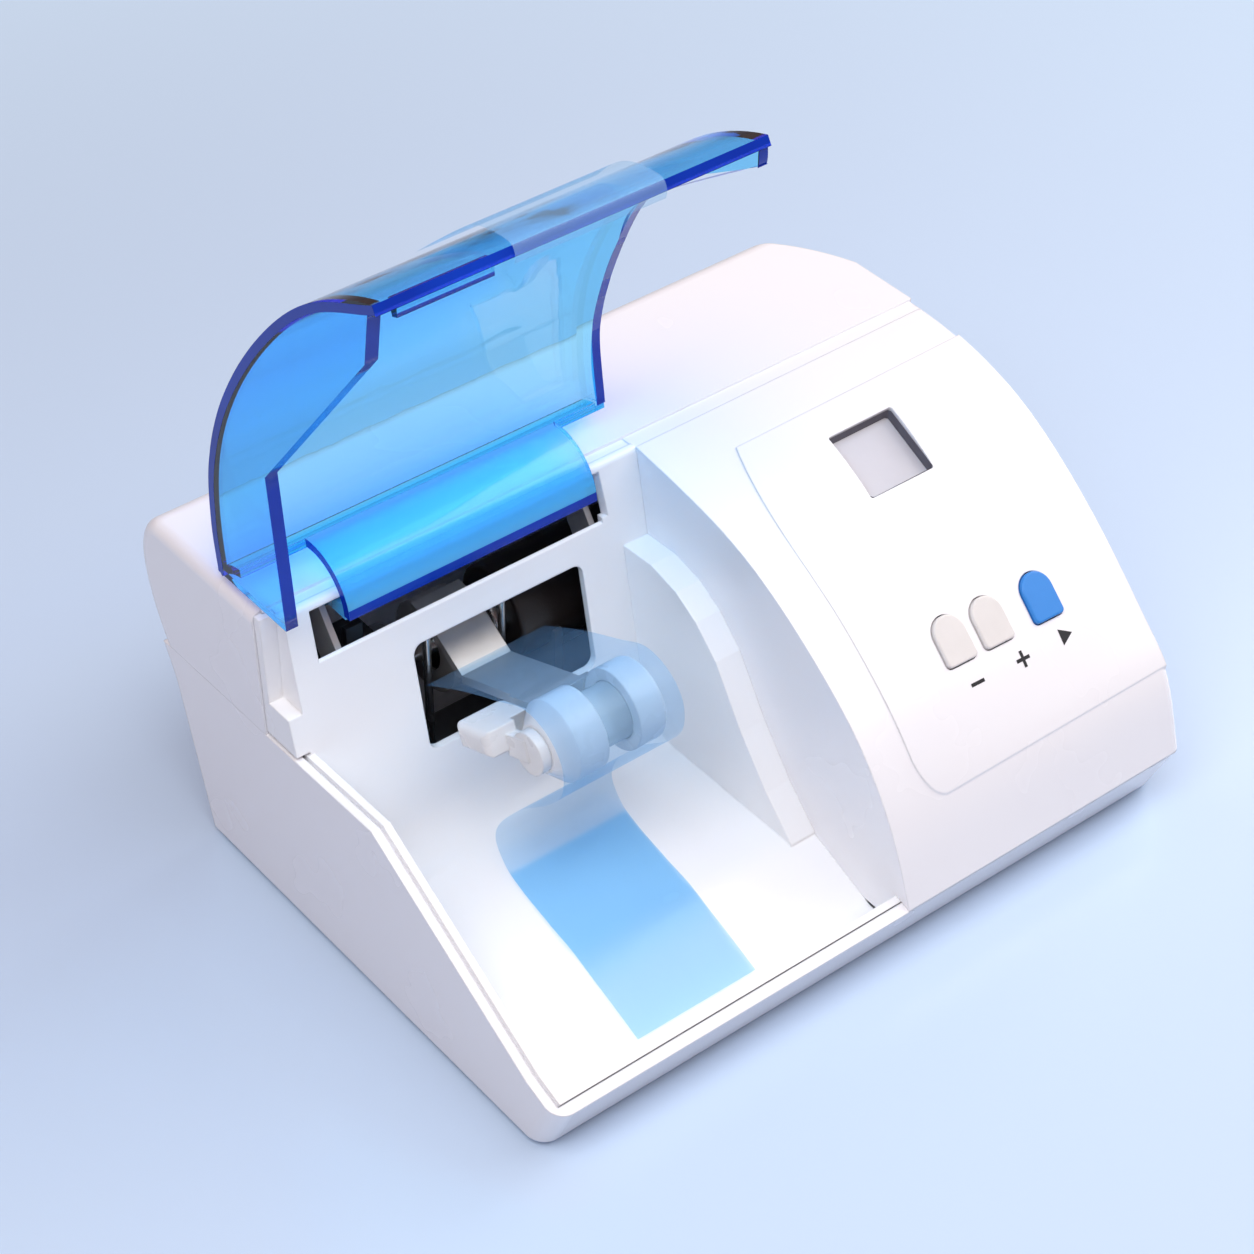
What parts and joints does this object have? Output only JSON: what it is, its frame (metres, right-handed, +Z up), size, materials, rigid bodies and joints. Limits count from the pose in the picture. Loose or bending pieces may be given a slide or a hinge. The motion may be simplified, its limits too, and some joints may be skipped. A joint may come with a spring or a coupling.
{
  "type": "dental amalgamator",
  "caption": "bench-top capsule mixer: sloped control housing, open arm well under a hinged clear lid, motor-driven rocking arm with a sliding capsule clamp",
  "frame": {"origin": "centre of the footprint, on the surface that the rubber feet stand on", "axes": "+X to the user's right, +Y to the back, +Z up"},
  "size_m": [0.2475, 0.1961, 0.2539],
  "materials": {
    "shell_white": "satin white moulded ABS",
    "tray_white": "satin white moulded ABS",
    "lid_blue": "clear blue polycarbonate",
    "film_blue": "thin clear blue sheet",
    "arm_metal": "brushed aluminium arm",
    "steel": "bright steel",
    "dark_metal": "black painted steel",
    "chassis_steel": "zinc plated steel",
    "jaw_white": "white acetal",
    "capsule_clear": "clear capsule plastic",
    "button_grey": "grey moulded cap",
    "button_blue": "blue moulded cap",
    "display_lens": "pale grey window",
    "black_plastic": "black moulding",
    "board": "circuit board",
    "copper_iron": "varnished transformer",
    "rubber": "black rubber",
    "brass": "contact blades"
  },
  "bodies": {
    "root": {"base_shell": "shell_white", "rear_cover": "shell_white", "front_cover": "shell_white", "well_tray": "tray_white", "hinge_brackets": "chassis_steel", "hinge_rod": "steel", "lid_spring": "steel", "lid_switch": "black_plastic", "motor_body": "dark_metal", "motor_boss": "steel", "shaft_bearing": "steel", "bearing_stand": "dark_metal", "motor_cradle": "dark_metal", "rubber_mounts": "rubber", "stop_rods": "steel", "chassis_plate": "chassis_steel", "case_screws": "steel", "power_board": "board", "board_posts": "brass", "transformer": "copper_iron", "control_board": "board", "tact_switches": "black_plastic", "display_module": "black_plastic", "display_lens": "display_lens", "mains_inlet": "black_plastic", "inlet_pins": "brass", "switch_frame": "black_plastic", "rubber_feet": "rubber", "transit_film": "film_blue"},
    "lid": {"lid_shell": "lid_blue"},
    "shaft": {"motor_shaft": "steel", "ball_sleeve": "steel", "counterweight": "dark_metal"},
    "arm": {"arm_plate": "arm_metal", "arm_hub": "arm_metal", "ring_jaw": "jaw_white", "guide_rods": "steel", "capsule": "capsule_clear"},
    "clamp": {"clamp_slider": "jaw_white", "jaw_cup": "jaw_white"},
    "minus": {"button_minus": "button_grey"},
    "plus": {"button_plus": "button_grey"},
    "start": {"button_start": "button_blue"},
    "rocker": {"switch_rocker": "black_plastic"},
    "drawer": {"fuse_drawer": "black_plastic"}
  },
  "joints": [
    {"name": "lid_hinge", "type": "hinge", "parent": "root", "child": "lid", "pos_m": [0, 0.0419, 0.1058], "axis": [1, 0, 0], "range_deg": [0, 93]},
    {"name": "shaft_spin", "type": "hinge", "parent": "root", "child": "shaft", "pos_m": [0, 0.0484, 0.059], "axis": [1, 0, 0], "continuous": true},
    {"name": "arm_rock", "type": "hinge", "parent": "root", "child": "arm", "pos_m": [-0.0515, 0.0484, 0.059], "axis": [0, 0.3665, 0.9304], "range_deg": [-4, 4], "stiffness_Nm_per_rad": 0.5},
    {"name": "clamp_slide", "type": "slide", "parent": "arm", "child": "clamp", "axis": [-1, 0, 0], "range_m": [0, 0.006]},
    {"name": "press_minus", "type": "slide", "parent": "root", "child": "minus", "axis": [-0.0351, 0.6611, -0.7495], "range_m": [0, 0.0012], "stiffness_N_per_m": 800, "springref_m": -0.0002},
    {"name": "press_plus", "type": "slide", "parent": "root", "child": "plus", "axis": [-0.035, 0.663, -0.7478], "range_m": [0, 0.0012], "stiffness_N_per_m": 800, "springref_m": -0.0002},
    {"name": "press_start", "type": "slide", "parent": "root", "child": "start", "axis": [-0.0349, 0.6655, -0.7456], "range_m": [0, 0.0012], "stiffness_N_per_m": 800, "springref_m": -0.0002},
    {"name": "rocker_tilt", "type": "hinge", "parent": "root", "child": "rocker", "pos_m": [-0.028, 0.07898, 0.0293], "axis": [1, 0, 0], "range_deg": [-7, 7]},
    {"name": "fuse_drawer_slide", "type": "slide", "parent": "root", "child": "drawer", "axis": [0, 0.9802, -0.198], "range_m": [0, 0.012]}
  ]
}
